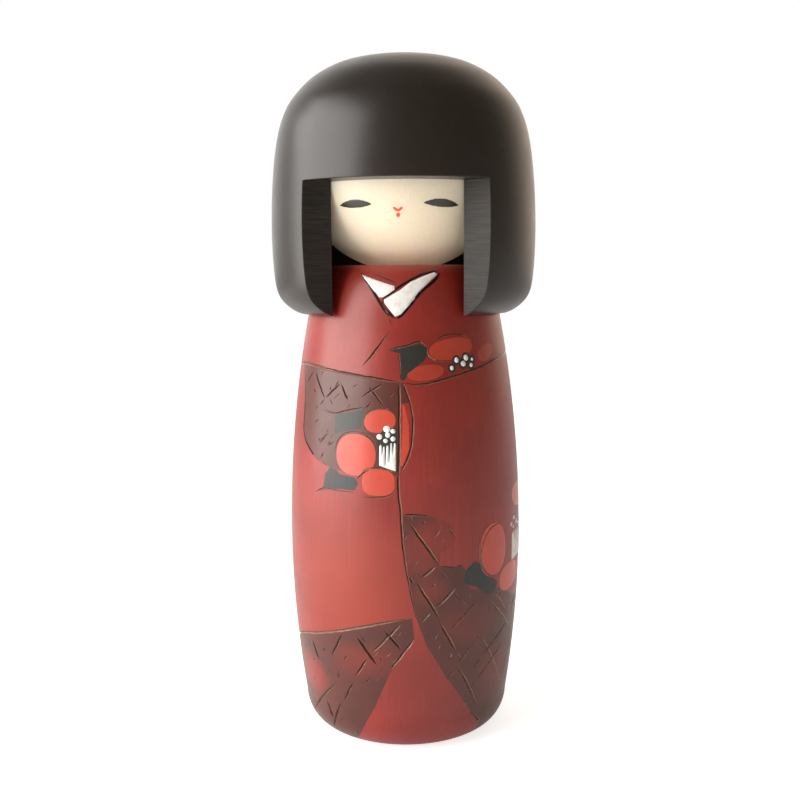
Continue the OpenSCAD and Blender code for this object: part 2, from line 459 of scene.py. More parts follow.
# %% Collar, overlap and seam
carve([(-26, 130.5), (-16, 126.5), (-4, 119)], 0.9, 0.1, 0.15)
carve([(-16.5, 130), (-8, 129), (0, 127.5)], 0.45)
carve([(-9, 123.5), (-4, 125), (2, 127), (16, 130), (29, 131)], 0.8, 0.1, 0.1)
carve([(-8.5, 123.5), (-7.5, 121.5), (-0.5, 118.5)], 0.8, 0.1, 0.1)
carve([(-0.5, 118.5), (3, 119.5), (13.5, 125), (24, 128.5), (29, 130.5)], 0.9, 0.1, 0.1)
carve([(-3.5, 115.5), (-10, 111), (-18, 106)], 0.75, 0.5, 0.4)
carve([(-4, 119), (-3, 117)], 0.3)
carve([(1.5, 102), (1.5, 93.5), (1.5, 84), (1, 78)], 0.8, 0.05, 0.05)
carve([(2, 102), (4.5, 100.5), (7.5, 95), (8, 90.5), (6.5, 84), (2, 78.5)], 0.65, 0.08, 0.1)
carve([(1, 79), (1, 74), (2, 68.5), (3, 59), (6.5, 46), (9, 40)], 0.75, 0.05, 0.6)
print("lines of the collar and the overlap:", len(beds))

# %% Sleeve and its net
sleeve_top = [(-110, 99), (-90, 103.5), (-70, 105.5), (-53, 105.5), (-34, 104.5), (-10, 103), (2, 102)]
carve(sleeve_top, 0.85, 0.2, 0.1)
carve([(-66, 105.5), (-60, 99), (-58, 93), (-57, 87), (-50, 83), (-42, 80.5), (-34, 79)], 0.6, 0.1, 0.2)
for line in [[(-64, 104), (-61, 100), (-58, 96.5)], [(-50, 104), (-40, 97)], [(-40, 97), (-30, 101.5)],
             [(-30, 101.5), (-25, 97)], [(-58, 100.5), (-52, 104)], [(-18, 98), (-6, 102)],
             [(-14, 101), (-6, 96)], [(-16, 95), (-12, 97)]]:
    carve(line, 0.62, 0.3, 0.3)
for line in [[(-23, 100.5), (-20, 101.5)], [(-4, 98), (-1, 99.5)], [(-42, 85.5), (-36, 88)],
             [(-36, 84.5), (-32, 86)], [(-44, 95), (-40, 97)], [(-34, 100), (-31, 102.5)],
             [(-50, 99.5), (-48, 98)], [(-47, 90), (-43, 91.5)]]:
    carve(line, 0.42, 0.4, 0.4)
carve([(-41, 94), (-32, 93.5), (-25, 94.5), (-16, 95.5)], 0.5)
carve([(-16, 72), (-10, 72), (-4, 72.5), (0, 74)], 0.45)
carve([(-19, 76.5), (-15, 78.5), (-12, 79.5)], 0.45)
carve([(-44, 71.5), (-38, 73), (-28, 73), (-19, 73)], 0.35)
print("with the sleeve:", len(beds))

# %% Net of the lower left
carve([(-100, 21), (-80, 25), (-61, 29), (-45, 31.5), (-22, 35.5), (-7, 38), (6, 39.5)], 0.75, 0.2, 0.15)
for line in [[(-51, 28.5), (-46, 23)], [(-28, 33.5), (-36, 26)], [(-20, 33.5), (-10, 25.5)],
             [(2, 38), (-13, 29)], [(-15, 27.5), (-22, 21.5)], [(-24, 19.5), (-30, 13.5)],
             [(-6, 36), (2, 30.5)], [(8, 33.5), (-4, 24.5)], [(-34, 18.5), (-61, 5.5)],
             [(-33, 12.5), (-42, 3.5)], [(-44, 11.5), (-40, 6.5)]]:
    carve(line, 0.8, 0.25, 0.25)
for line in [[(-40, 28), (-43, 26)], [(-26, 27.5), (-28, 26)], [(-8, 28.5), (-8, 27)],
             [(2, 36), (0, 34.5)], [(-33, 21.5), (-32, 20)], [(-14, 22), (-16, 20)],
             [(-32, 8), (-35, 6)], [(-52, 23), (-50, 22)], [(-57, 28), (-54, 26)]]:
    carve(line, 0.5, 0.4, 0.4)
print("with the lower left:", len(beds))

# %% Net of the lower right
carve([(3, 67.5), (8, 67.5), (16, 67)], 0.65, 0.15, 0.4)
for line in [[(6, 65.5), (13, 59.5), (20, 53.5)], [(9, 49.5), (20, 39)], [(20, 38), (29, 29)],
             [(43, 32.5), (30, 25)], [(44, 31.5), (71, 10)], [(40, 42.5), (26, 35.5)],
             [(48, 41.5), (81, 24.5)], [(28, 47), (18, 42)], [(74, 27.5), (68, 17)],
             [(31, 24), (45, 11)], [(34, 13.5), (47, 21), (62, 27)], [(52, 43), (66, 35)],
             [(66, 33), (50, 27.5), (37, 21.5)], [(18, 53.5), (11, 50.5)], [(5, 51.5), (8, 49)],
             [(80, 39), (70, 36)]]:
    carve(line, 0.8, 0.25, 0.25)
for line in [[(20, 53.5), (28, 52.5)], [(28, 53), (32, 53)], [(20, 52.5), (24, 49.5)],
             [(27, 46), (30, 43.5)], [(56, 40.5), (52, 38.5)], [(64, 39.5), (76, 33)],
             [(29, 29), (33, 25)], [(32, 24.5), (25, 21.5)], [(16, 41), (11, 38)],
             [(5, 62.5), (3, 60.5)], [(13, 66), (12, 65)], [(10, 55.5), (8, 54)],
             [(18, 49), (16, 47.5)], [(19, 34.5), (17, 33)], [(27, 28.5), (25, 27)],
             [(36, 44.5), (35, 43)], [(24, 63.5), (28, 61)]]:
    carve(line, 0.5, 0.4, 0.4)
carve([(57, 62.5), (48, 61.5), (43, 57.5), (42, 53.5), (46, 49.5), (53, 47.5)], 0.4)
carve([(40, 10), (50, 5)], 0.6)
print("with the lower right:", len(beds))

# %% Upper right spray
carve([(-5, 110.5), (5, 111.5), (12, 112.5), (16, 111)], 0.5)
carve([(0, 102), (12, 101.5), (23, 102.5), (45, 105), (64, 107), (90, 108), (112, 105)], 0.6, 0.15, 0.3)
carve([(1, 110), (2, 106.5), (2, 103.5)], 0.35)
carve([(19, 112), (26, 114), (36, 114), (43, 112.5)], 0.35)
print("knife lines:", len(beds))

# %% [markdown]
# ## Petals, leaves and the brown ground
# Painted shapes are closed outlines on the map. Petals are ovals, a little squared, because
# they come from one press and twist of a round brush, and the knife was run part of the way
# round some of them. Leaves and the dark ground under the stamens are patches with corners.
# The brown ground is bounded by the carved lines, so its edge hides in them. Where it was
# rubbed back the red shows through as soft spots: an angle, a height, half the width and
# half the height in millimetres, and how much of the brown is gone. Short nicks are scattered
# over the ground, because the point of the knife was set down there again and again.

# %% Painted outlines
def oval(angle, z, wide, tall, tilt=0.0, square=2.2, around=44):
    centre = chart([(angle, z)])[0]
    t = np.radians(np.arange(around) * 360 / around)
    x = wide / 2 * np.sign(np.cos(t)) * np.abs(np.cos(t)) ** (2 / square)
    y = tall / 2 * np.sign(np.sin(t)) * np.abs(np.sin(t)) ** (2 / square)
    c, s = math.cos(math.radians(tilt)), math.sin(math.radians(tilt))
    return np.column_stack([centre[0] + x * c - y * s, centre[1] + x * s + y * c])


def patch(points, step=None):
    corners, sides = chart(points), []
    for a, b in zip(corners, np.roll(corners, -1, axis=0)):
        count = max(2, int(np.linalg.norm(b - a) / step)) if step else 4
        sides.append(a + (b - a) * np.linspace(0, 1, count, endpoint=False)[:, None])
    return np.vstack(sides)


# %% Petals, with the knife run round some of them
petals = [
    oval(-8, 92, 9, 6, 8), oval(-20, 83, 12, 11), oval(-8.5, 76, 9, 7, 0, 2.8),
    oval(30, 110.5, 15, 5.5, 6, 2.4), oval(15, 104.5, 11, 4, 6), oval(53, 109, 8, 4, 20),
    oval(51, 55.5, 11, 14.5, 4), oval(66, 46, 12, 7.5, 4, 2.6), oval(97, 56, 12, 13, -8),
    oval(86, 46, 9, 6, -20), oval(80, 68, 13, 7, -6),
    oval(151, 86, 12, 11), oval(165, 92, 10, 6, -10), oval(164, 78, 10, 7, 8, 2.6)]
thinned = {3: 0.3, 4: 0.4, 5: 0.5}
edged_petals = [(1, 2, 24), (2, 3, 22), (0, 6, 20), (6, 12, 34), (3, 20, 34), (11, 2, 24), (13, 3, 22)]
for petal, first, last in edged_petals:
    outline = petals[petal]
    ring = outline.mean(axis=0) + (outline - outline.mean(axis=0)) * 1.09
    carve(None, 0.35, 0.2, 0.2, 0.5, ring[first:last:2])
print("petals:", len(petals), "with a cut round", len(edged_petals), "of them")

# %% Leaves and pollen
leaves = [
    patch([(-5, 110.5), (0, 111), (6, 111.5), (12, 112), (16, 111), (16, 109), (14, 107.5), (10, 106),
           (6, 104.5), (4, 102.5), (2, 103), (2, 106), (2, 109.5)]),
    patch([(-33, 93.5), (-24, 94), (-16, 95), (-15, 94), (-17, 92), (-17, 90), (-22, 89.5), (-32, 88),
           (-32, 90.5)]),
    patch([(-42, 72), (-38, 73.5), (-37, 77), (-34, 79), (-30, 78.5), (-28, 77.5), (-20, 77), (-18, 75.5),
           (-20, 73.5), (-28, 73.5), (-34, 73)]),
    patch([(32, 48), (33, 51.5), (38, 53.5), (42, 52.5), (44, 49.5), (50, 47.5), (54, 46), (52, 43.5),
           (45, 43.5), (40, 46)]),
    patch([(134, 92.5), (143, 93), (149, 94), (148, 91.5), (140, 89), (135, 89)]),
    patch([(132, 74), (138, 78.5), (145, 78), (152, 77), (151, 74.5), (141, 74)])]
pollen = [
    (-8, 88, 1.7), (-4.5, 90, 2), (-1.5, 89.5, 1.5), (-4, 88.5, 1.5), (-5, 87, 1.3), (-1.5, 87.5, 1.4),
    (29, 105.5, 1.3), (32, 107.5, 1.5), (38, 108, 1.8), (36, 106.5, 1.8), (41, 106, 1.3), (42, 107.5, 1),
    (164, 87, 1.6), (167, 85.5, 1.8), (163, 84, 1.4), (167, 83, 1.2), (171, 85, 1.2),
    (67, 60.5, 1.2), (71, 62, 1.4), (75, 60.5, 1.4), (79, 59.5, 1.2), (70, 59.5, 1)]
leaves += [patch([(-9, 85.5), (-9, 88), (-6, 90), (0.5, 90.5), (0.5, 79), (-4, 80), (-8, 81)])]
leaves += [oval(angle, z, size + 1.4, size + 1.2, 0, 2, 20) for angle, z, size in pollen[6:12]]
fill = [patch([(3, 96.5), (4, 96), (6, 91), (6, 85), (3, 80.5), (2, 80.5), (3, 90)])]

# %% Brown ground
brown_ground = [
    patch([(-66, 105.5), (-34, 104.5), (-10, 103), (1, 102), (2, 93), (1, 78), (-12, 77), (-34, 79),
           (-42, 80.5), (-50, 83), (-57, 87), (-58, 93), (-60, 99)]),
    patch([(2, 102), (4, 100.5), (7, 97), (2, 96.5)]),
    patch([(-100, 21), (-80, 25), (-61, 29), (-45, 31.5), (-22, 35.5), (-7, 38), (7, 39.5), (8, 33.5),
           (-4, 23.5), (-12, 13.5), (-28, 0.5), (-60, 0.5), (-130, 0.5), (-130, 16)]),
    patch([(3, 67.5), (16, 67), (25, 65), (28, 61), (24, 58), (20, 57), (20, 53.5), (32, 52.5), (36, 46),
           (56, 44), (70, 40), (100, 36), (130, 30), (130, 0.5), (52, 0.5), (47, 5), (34, 14.5), (24, 22),
           (14, 31.5), (8, 41), (6, 46), (3, 59)]),
    patch([(130, 30), (150, 33), (180, 34), (180, 0.5), (130, 0.5)]),
    patch([(-180, 34), (-155, 29), (-130, 16), (-130, 0.5), (-180, 0.5)])]
rubbed_back = [
    (-54, 18, 8, 6, 0.9), (22, 62, 8, 6, 0.7), (12, 57, 6, 7, 0.5), (16, 47, 5, 4, 0.4), (36, 36, 9, 6, 0.3),
    (60, 20, 10, 8, 0.3), (-8, 27, 8, 5, 0.3), (-24, 26, 6, 5, 0.3), (-110, 12, 9, 8, 0.4),
    (110, 22, 9, 8, 0.4), (152, 14, 10, 8, 0.4)]

# %% Net and nicks round the foot
for turn in range(-170, -100, 14):
    carve([(turn, 24), (turn + 17, 6)], 0.8)
    carve([(turn + 16, 22), (turn, 5)], 0.7)
for ground_number, count in ((0, 34), (2, 46), (3, 60)):
    outline = brown_ground[ground_number]
    (left, low), (right, high) = outline.min(axis=0), outline.max(axis=0)
    for _ in range(count):
        spot = np.array([[random.uniform(left, right), random.uniform(low + 3, high)]])
        covered = any(inside(spot, shape)[0] for shape in petals + leaves)
        lean = math.radians(random.choice([48, 55, 128]) + random.uniform(-8, 8))
        reach = random.uniform(0.7, 1.7) * np.array([math.cos(lean), math.sin(lean)])
        if inside(spot, outline)[0] and not covered:
            nick = np.vstack([spot - reach, spot, spot + reach])
            carve(None, random.uniform(0.25, 0.4), 0.4, 0.4, 0.6, nick)
for turn in range(86, 176, 14):
    carve([(turn, 32), (turn + 18, 10)], 0.8)
    carve([(turn + 15, 29), (turn - 1, 9)], 0.7)
carve([(100, 38), (130, 31), (150, 34), (179, 35)], 0.6)
carve([(-179, 35), (-155, 30), (-130, 17), (-100, 21)], 0.6)
print("petals:", len(petals), "leaves:", len(leaves), "knife lines:", len(beds))

# %% [markdown]
# ## From the map to a carved mesh
# A displaced grid fine enough for half-millimetre cuts would need millions of faces. Instead a
# constrained triangulation is made on the flat map: a loose, even mesh of points for the
# turned surface, plus every bank, bed and painted outline as edges it must keep. The cuts
# are then exactly as sharp as the knife left them, and the rest stays light.

# %% Measuring on the map
def path_distance(points, path, half=None):
    best, wide = np.full(len(points), 1e9), np.zeros(len(points))
    reach = 4.0
    near = np.where(np.all((points > path.min(0) - reach) & (points < path.max(0) + reach), axis=1))[0]
    p = points[near]
    d_near, w_near = best[near], wide[near]
    for i in range(len(path) - 1):
        a, b = path[i], path[i + 1]
        span = b - a
        t = np.clip(((p - a) @ span) / max(span @ span, 1e-12), 0, 1)
        d = np.linalg.norm(p - (a + t[:, None] * span), axis=1)
        closer = d < d_near
        d_near[closer] = d[closer]
        if half is not None:
            w_near[closer] = (half[i] + (half[i + 1] - half[i]) * t)[closer]
    best[near], wide[near] = d_near, w_near
    return best, wide


BANK_SLOPE = 1.6


def cut_depth(points):
    depth = np.zeros(len(points))
    for path, half, deep in beds:
        d, w = path_distance(points, path, half)
        depth = np.maximum(depth, BANK_SLOPE * deep * np.maximum(w - d, 0))
    return depth


# %% Triangulate the map
HALF_ROUND = math.pi * BODY_R
loose = []
for row, s in enumerate(body_s):
    fine = len(foot) <= row < len(foot) + len(eased) + len(side) + len(shoulder)
    columns = 160 if fine else 48
    shift = 0.5 if row % 2 else 0.0
    across = [2 * (i + shift) / columns - 1 for i in range(0 if shift else 1, columns)]
    loose += [(HALF_ROUND * share, s) for share in across]
loose = np.array(loose)
keep = np.ones(len(loose), bool)
for path, half, _ in beds:
    d, w = path_distance(loose, path, half)
    keep &= d > w + 0.5
for outline in petals + leaves + fill + brown_ground:
    keep &= path_distance(loose, np.vstack([outline, outline[:1]]))[0] > 0.45
rim_points = np.array([(side_x, s) for s in body_s for side_x in (-HALF_ROUND, HALF_ROUND)])
map_points, map_edges = [tuple(p) for p in np.vstack([rim_points, loose[keep]])], []
for bed, left, right in banks:
    for chain in (bed, np.vstack([bed[:1], left, bed[-1:]]), np.vstack([bed[:1], right, bed[-1:]])):
        first = len(map_points)
        map_points += [tuple(p) for p in np.clip(chain, (-HALF_ROUND + 0.01, 0), (HALF_ROUND - 0.01, 1e9))]
        map_edges += [(first + i, first + i + 1) for i in range(len(chain) - 1)]
for outline in petals + leaves + fill + brown_ground:
    first, count = len(map_points), len(outline)
    map_points += [tuple(p) for p in np.clip(outline, (-HALF_ROUND, 0), (HALF_ROUND, 1e9))]
    map_edges += [(first + i, first + (i + 1) % count) for i in range(count)]
flat, _, faces, *_ = delaunay_2d_cdt([Vector(p) for p in map_points], map_edges, [], 0, 1e-4, False)
flat = np.array([tuple(v) for v in flat])
faces = np.array([f for f in faces if len(f) == 3])
print("map:", len(flat), "points,", len(faces), "triangles")

# %% [markdown]
# The depth of every point is read from the nearest knife line, falling in straight walls to
# the bed. Faces inside a cut take the carved finish, faces inside an outline take its paint.
# The uncut surface gets the normals of the true turned shape, so that no triangle shows in
# the gloss, and every cut wall keeps its own flat normal.

# %% Lay the map on the wood
def closed_mesh(name, places, tris, corner_normals, body, finishes, slots=None, values=None):
    keys, index = {}, np.zeros(len(places), int)
    kept = []
    for i, key in enumerate(map(tuple, np.round(places / 2e-7).astype(int))):
        if key not in keys:
            keys[key] = len(kept)
            kept.append(i)
        index[i] = keys[key]
    tri = index[tris]
    good = (tri[:, 0] != tri[:, 1]) & (tri[:, 1] != tri[:, 2]) & (tri[:, 0] != tri[:, 2])
    mesh = bpy.data.meshes.new(name)
    mesh.from_pydata(places[kept].tolist(), [], tri[good].tolist())
    for finish in finishes:
        mesh.materials.append(finish)
    if slots is not None:
        mesh.polygons.foreach_set("material_index", slots[good].astype(np.int32))
    if values is not None:
        brown_value = mesh.attributes.new("brown", "FLOAT", "CORNER")
        brown_value.data.foreach_set("value", values[good].ravel().astype(np.float32))
    mesh.polygons.foreach_set("use_smooth", np.ones(len(mesh.polygons), bool))
    mesh.normals_split_custom_set(corner_normals[good].reshape(-1, 3).tolist())
    mesh.update()
    piece = bpy.data.objects.new(name, mesh)
    bpy.context.collection.objects.link(piece)
    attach(piece, body)
    print(name, len(mesh.vertices), "points", len(mesh.polygons), "faces")
    return piece


places, _ = to_surface(flat, -cut_depth(flat))
_, uncut = to_surface(flat)
middle = flat[faces].mean(axis=1)
corner_normals = uncut[faces]
walls = cut_depth(middle) > 0.01
a, b, c = (places[faces[:, i]] for i in range(3))
wall_normals = np.cross(b - a, c - a)
wall_normals /= np.maximum(np.linalg.norm(wall_normals, axis=1), 1e-12)[:, None]
turned_over = np.einsum("ij,ij->i", wall_normals, corner_normals.mean(axis=1)) < 0
faces[turned_over] = faces[turned_over][:, ::-1]
corner_normals[turned_over] = corner_normals[turned_over][:, ::-1]
wall_normals[turned_over] *= -1
corner_normals[walls] = wall_normals[walls][:, None, :]

# %% Finish of every face
UNCUT, DARK_STAIN_AND_SHADE_BANK, PETAL, LEAF, PAINTED_LIT_BANK = range(5)
kimono_finishes = [stained_wood, carved_stain_and_shade, petal_paint, leaf_paint, bare_and_painted_lit_bank]
slots = np.full(len(faces), UNCUT)
for outline in petals + fill:
    slots[inside(middle, outline)] = PETAL
for outline in leaves:
    slots[inside(middle, outline)] = LEAF
# Cut walls that face left and up take the pale finish, a painted highlight for the panel light on them. Walls
# turned away take the dark finish, dark stain with painted shade. Above the collar both walls stay dark.
where = places[faces].mean(axis=1)
turned = np.arctan2(where[:, 0], -where[:, 1])
to_the_left = -(wall_normals[:, 0] * np.cos(turned) + wall_normals[:, 1] * np.sin(turned))
painted_lit_bank = to_the_left + wall_normals[:, 2] / 2 > 0
below_collar = middle[:, 1] < chart([(0, 116)])[0][1]
slots[walls] = np.where(painted_lit_bank & below_collar, PAINTED_LIT_BANK, DARK_STAIN_AND_SHADE_BANK)[walls]
print("faces per finish:", np.bincount(slots).tolist())
ground = np.zeros(len(faces))
for outline in brown_ground:
    ground[inside(middle, outline)] = 1.0
for i, outline in enumerate(petals + fill):
    ground[inside(middle, outline)] = thinned.get(i, 0.0)
worn = np.ones(len(flat))
for angle, z, wide, tall, fade in rubbed_back:
    away = np.linalg.norm((flat - chart([(angle, z)])[0]) / (wide, tall), axis=1)
    worn *= 1 - fade * np.clip(1.8 - 1.5 * away, 0, 1)
kimono = closed_mesh("kimono_turned_and_carved", places, faces, corner_normals, "kimono",
                     kimono_finishes, slots, ground[:, None] * worn[faces])
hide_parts("kimono_body")

# %% [markdown]
# ## Raised paint
# Thick paint is a separate skin on the wood: flat on top, rounded down to the surface at its
# edge, and just below the surface at the very rim so that it seals. The same map serves, so
# a dab is an outline and a thickness.

# %% Lay on paint
def lay_paint(name, outline, thick, body, finish, edge=0.35, spacing=0.45, line=None, ring=BODY_R):
    around = np.vstack([outline, outline[:1]])
    low, high = outline.min(0), outline.max(0)
    rows, columns = np.arange(low[1], high[1], spacing), np.arange(low[0], high[0], spacing)
    inner = np.array([(x, y) for y in rows for x in columns]).reshape(-1, 2)
    inner = inner[inside(inner, outline)] if len(inner) else inner
    inner = inner[path_distance(inner, around)[0] > spacing * 0.45] if len(inner) else inner
    points = [tuple(p) for p in outline] + [tuple(p) for p in inner]
    ties = [(i, (i + 1) % len(outline)) for i in range(len(outline))]
    spot, _, tri, *_ = delaunay_2d_cdt([Vector(p) for p in points], ties, [], 1, 1e-5, False)
    spot = np.array([tuple(v) for v in spot])
    tri = np.array([f for f in tri if len(f) == 3])
    rise = np.clip(path_distance(spot, around)[0] / edge, 0, 1)
    lift = -0.03 + (thick + 0.03) * np.sqrt(1 - (1 - rise) ** 2)
    where, _ = to_surface(spot, lift, line, ring)
    a, b, c = (where[tri[:, i]] for i in range(3))
    out = np.cross(b - a, c - a)
    _, up = to_surface(spot, 0, line, ring)
    wrong = np.einsum("ij,ij->i", out, up[tri[:, 0]]) < 0
    tri[wrong] = tri[wrong][:, ::-1]
    out[wrong] *= -1
    soft = np.zeros((len(spot), 3))
    for i in range(3):
        np.add.at(soft, tri[:, i], out)
    soft /= np.maximum(np.linalg.norm(soft, axis=1), 1e-15)[:, None]
    return closed_mesh(name, where, tri, soft[tri], body, [finish])


def dab(name, angle, z, wide, tall, thick=0.25):
    return lay_paint(name, oval(angle, z, wide, tall, random.uniform(-20, 20), 2.0, 26), thick, "kimono",
                     white_paint, wide * 0.45, 0.3)


# %% Collar, stamens and pollen
COLLAR_RIGHT = [(-25, 130), (-20.5, 129.5), (-9.5, 128), (-1.5, 127), (-1.5, 126), (-8, 124), (-10.5, 124),
                (-13, 125.5), (-18, 127.5)]
COLLAR_LEFT = [(27, 130), (24.5, 130.5), (16.5, 129.5), (8, 128), (2, 126), (-7.5, 123.5), (-7, 122.5),
               (-1, 119), (2, 119.5), (6, 121.5), (13, 125.5), (20, 128)]
lay_paint("collar_right_under", patch(COLLAR_RIGHT, 0.4), 0.16, "kimono", white_paint,
          0.3)
lay_paint("collar_left_over", patch(COLLAR_LEFT, 0.4), 0.18, "kimono", white_paint, 0.3)


def brush(left, right, low_left, low_right, top, gap, slits):
    line = [(left, low_left), (right, low_right), (right, top)]
    for at, deep in slits:
        line += [(at + gap, top), (at, top - deep), (at - gap, top)]
    return patch(line + [(left, top - 1)], 0.25)


lay_paint("stamens_sleeve", brush(-8, 0, 80.5, 79, 86.5, 0.5, [(-1.5, 3), (-3.2, 5), (-5, 6), (-6.5, 3)]),
          0.25, "kimono", white_paint, 0.35, 0.3)
lay_paint("stamens_hem", brush(68, 82, 50, 51, 58.5, 1.2, [(79, 4.5), (75.5, 6), (72, 6)]),
          0.25, "kimono", white_paint, 0.35, 0.3)
for i, (angle, z, size) in enumerate(pollen):
    dab(f"pollen_{i:02d}", angle, z, size, size * random.uniform(0.85, 1.0))

# %% [markdown]
# ## The head
# The head is turned as a plug: a straight side that fills the bore, a full round chin, and a
# blind hole for the dowel. A plain revolve is enough. Its chin is the quarter of an ellipse.

# %% Revolve
def revolve(name, line, columns, body, finish):
    r_of, z_of, s_of = line
    ring = r_of.max()
    grid = np.array([(math.pi * ring * (2 * j / columns - 1), s) for s in s_of for j in range(columns + 1)])
    corner = np.arange(len(grid)).reshape(len(s_of), columns + 1)
    quads = [(corner[i, j], corner[i, j + 1], corner[i + 1, j + 1], corner[i + 1, j])
             for i in range(len(s_of) - 1) for j in range(columns)]
    tri = np.array([t for q in quads for t in ((q[0], q[1], q[2]), (q[0], q[2], q[3]))])
    where, out = to_surface(grid, 0, line, ring)
    return closed_mesh(name, where, tri, out[tri], body, [finish])


CHIN_Z, HEAD_TOP = 130.9, 172.0
chin_start = math.degrees(math.asin(5.0 / HEAD_R))
chin = [(HEAD_R * math.sin(math.radians(t)), CHIN_Z + CHIN_H * (1 - math.cos(math.radians(t))))
        for t in np.linspace(chin_start, 90, 34)]
straight = [(HEAD_R, z) for z in np.linspace(158, 171, 12)]
head_line = walk([(0, 150.5), (4.95, 150.5), (5.0, 150.4), (5, 140)], chin, straight,
                 [(28, HEAD_TOP), (14, HEAD_TOP), (0, HEAD_TOP)])
head = revolve("head_turned", head_line, 144, "head_and_hair", pale_wood)
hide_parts("head")

# %% [markdown]
# The face is three strokes. Each eye is an almond, its upper edge more arched than the lower;
# the mouth is a tiny V with a drop under it. They are thin ink, a few hundredths of a
# millimetre, but they are drawn as real films so their edges stay clean.

# %% Face
_, head_z_line, head_s_line = head_line


def on_face(angle, z):
    seen_rows = slice(4, 50)
    walked = np.interp(z, head_z_line[seen_rows], head_s_line[seen_rows])
    return np.array([math.radians(angle) * HEAD_R, walked])


def almond(angle, z, wide, up, down, side):
    t = np.linspace(-1, 1, 25)
    upper = np.column_stack([t * wide / 2, up * (1 - np.abs(t) ** 1.9) + side * 0.1 * t])
    lower = np.column_stack([t[::-1] * wide / 2, -down * (1 - np.abs(t[::-1]) ** 2.2) + side * 0.1 * t[::-1]])
    return on_face(angle, z) + np.vstack([upper, lower[1:-1]])


def ink(name, outline, finish, thick=0.05):
    return lay_paint(name, outline, thick, "head_and_hair", finish, 0.2, 0.3, head_line, HEAD_R)


ink("eye_right", almond(-23.5, 148, 11, 1.5, 0.9, 0.5), eye_paint)
ink("eye_left", almond(25.5, 148, 11.5, 1.5, 0.9, -3), eye_paint)
mouth_at = on_face(1, 146.3)
tiny_v = np.array([(-1.6, 0.8), (-1, 1.2), (0, 0.5), (1, 1.2), (1.6, 0.8), (0.8, 0), (0, -0.4), (-0.8, 0)])
ink("mouth_upper", mouth_at + tiny_v, lip_paint)
drop = np.radians(np.arange(0, 360, 18))
ink("mouth_drop", mouth_at + np.column_stack([0.7 * np.cos(drop), -1.2 + 0.7 * np.sin(drop)]), lip_paint)

# %% [markdown]
# ## The hair
# The bell is turned, bored from below, and then a window is sawn out of its front with two
# slanting cheeks and a level fringe. A boolean would cut it, but leaves long faces that
# spoil a glossy curve. The window is simple enough to build in: below the fringe each ring
# of the bell stops where it meets the cheek planes, above it each ring goes all the way round.

# %% Outline of the bell
HAIR_R, HAIR_BELLY, RIM_Z, FRINGE_Z, TOP_Z = 37.2, 141.0, 119.0, 154.2, 190.0
skirt, crown = HAIR_BELLY - RIM_Z, TOP_Z - HAIR_BELLY
bell = [(0.62, -0.05), (0.775, 0.0), (0.87, 0.08), (0.95, 0.23), (0.985, 0.48), (1.0, 1.0), (0.99, 1.26),
        (0.96, 1.48), (0.91, 1.64), (0.825, 1.76), (0.66, 1.88), (0.42, 1.96), (0.0, 2.0), (-0.42, 1.96)]
bell_z = [RIM_Z + skirt * h if h <= 1 else HAIR_BELLY + crown * (h - 1) for _, h in bell]
curve = curve_through(np.array([(HAIR_R * r, z) for (r, _), z in zip(bell, bell_z)]), 60)
gone = np.concatenate([[0], np.cumsum(np.hypot(*np.diff(curve, axis=0).T))])
rim_at = np.interp(HEAD_R + 0.3, curve[:200, 0], gone[:200])
fringe_at = gone[np.argmin(np.abs(curve[:, 1] - FRINGE_Z))]
rings = np.concatenate([np.linspace(rim_at, fringe_at, 44), np.linspace(fringe_at, gone[-1], 70)[1:]])
ring_r, ring_z = np.interp(rings, gone, curve[:, 0]), np.interp(rings, gone, curve[:, 1])
FRINGE_ROW = 43
print("bell: widest", round(2 * ring_r.max(), 1), "mm, fringe ring at", round(ring_z[FRINGE_ROW], 2), "mm")

# %% Rings of the bell
WINDOW_X, CHEEK = 17.4, math.radians(35)
WINDOW_Y = math.sqrt(HEAD_R ** 2 - WINDOW_X ** 2)
BACK, FRONT = 210, 64


def cheek_angle(r):
    b = WINDOW_X * math.cos(CHEEK) + WINDOW_Y * math.sin(CHEEK)
    run = -b + math.sqrt(max(b * b + r * r - HEAD_R ** 2, 0))
    return math.atan2(WINDOW_X + run * math.cos(CHEEK), WINDOW_Y + run * math.sin(CHEEK))


hair_points, hair_faces, hair_slots = [], [], []


def ring_of_points(r, z, half_window, full):
    angles = list(np.linspace(half_window, 2 * math.pi - half_window, BACK + 1))
    if full:
        angles += list(np.linspace(-half_window, half_window, FRONT + 1)[1:-1])
    first = len(hair_points)
    hair_points.extend((r * math.sin(a) * MM, -r * math.cos(a) * MM, z * MM) for a in angles)
    return list(range(first, first + len(angles)))


def join(lower, upper, closed, slot=0, flip=False):
    count = min(len(lower), len(upper))
    for j in range(count if closed else BACK):
        k = (j + 1) % count
        quad = (lower[j], lower[k], upper[k], upper[j])
        hair_faces.append(quad[::-1] if flip else quad)
        hair_slots.append(slot)


outer_rings = [ring_of_points(max(r, 0.3), z, cheek_angle(ring_r[min(i, FRINGE_ROW)]), i >= FRINGE_ROW)
               for i, (r, z) in enumerate(zip(ring_r, ring_z))]
bore_window = math.atan2(WINDOW_X, WINDOW_Y)
bore_heights = list(ring_z[:FRINGE_ROW + 1]) + [160, 166, HEAD_TOP]
bore_rings = [ring_of_points(HEAD_R, z, bore_window, i >= FRINGE_ROW) for i, z in enumerate(bore_heights)]
ceiling = ring_of_points(0.3, HEAD_TOP, bore_window, True)
for i in range(len(outer_rings) - 1):
    join(outer_rings[i], outer_rings[i + 1], i >= FRINGE_ROW)
for i in range(len(bore_rings) - 1):
    join(bore_rings[i], bore_rings[i + 1], i >= FRINGE_ROW, 0, True)
join(bore_rings[-1], ceiling, True, 0, True)
hair_faces += [tuple(outer_rings[-1]), tuple(ceiling[::-1])]
hair_slots += [0, 0]
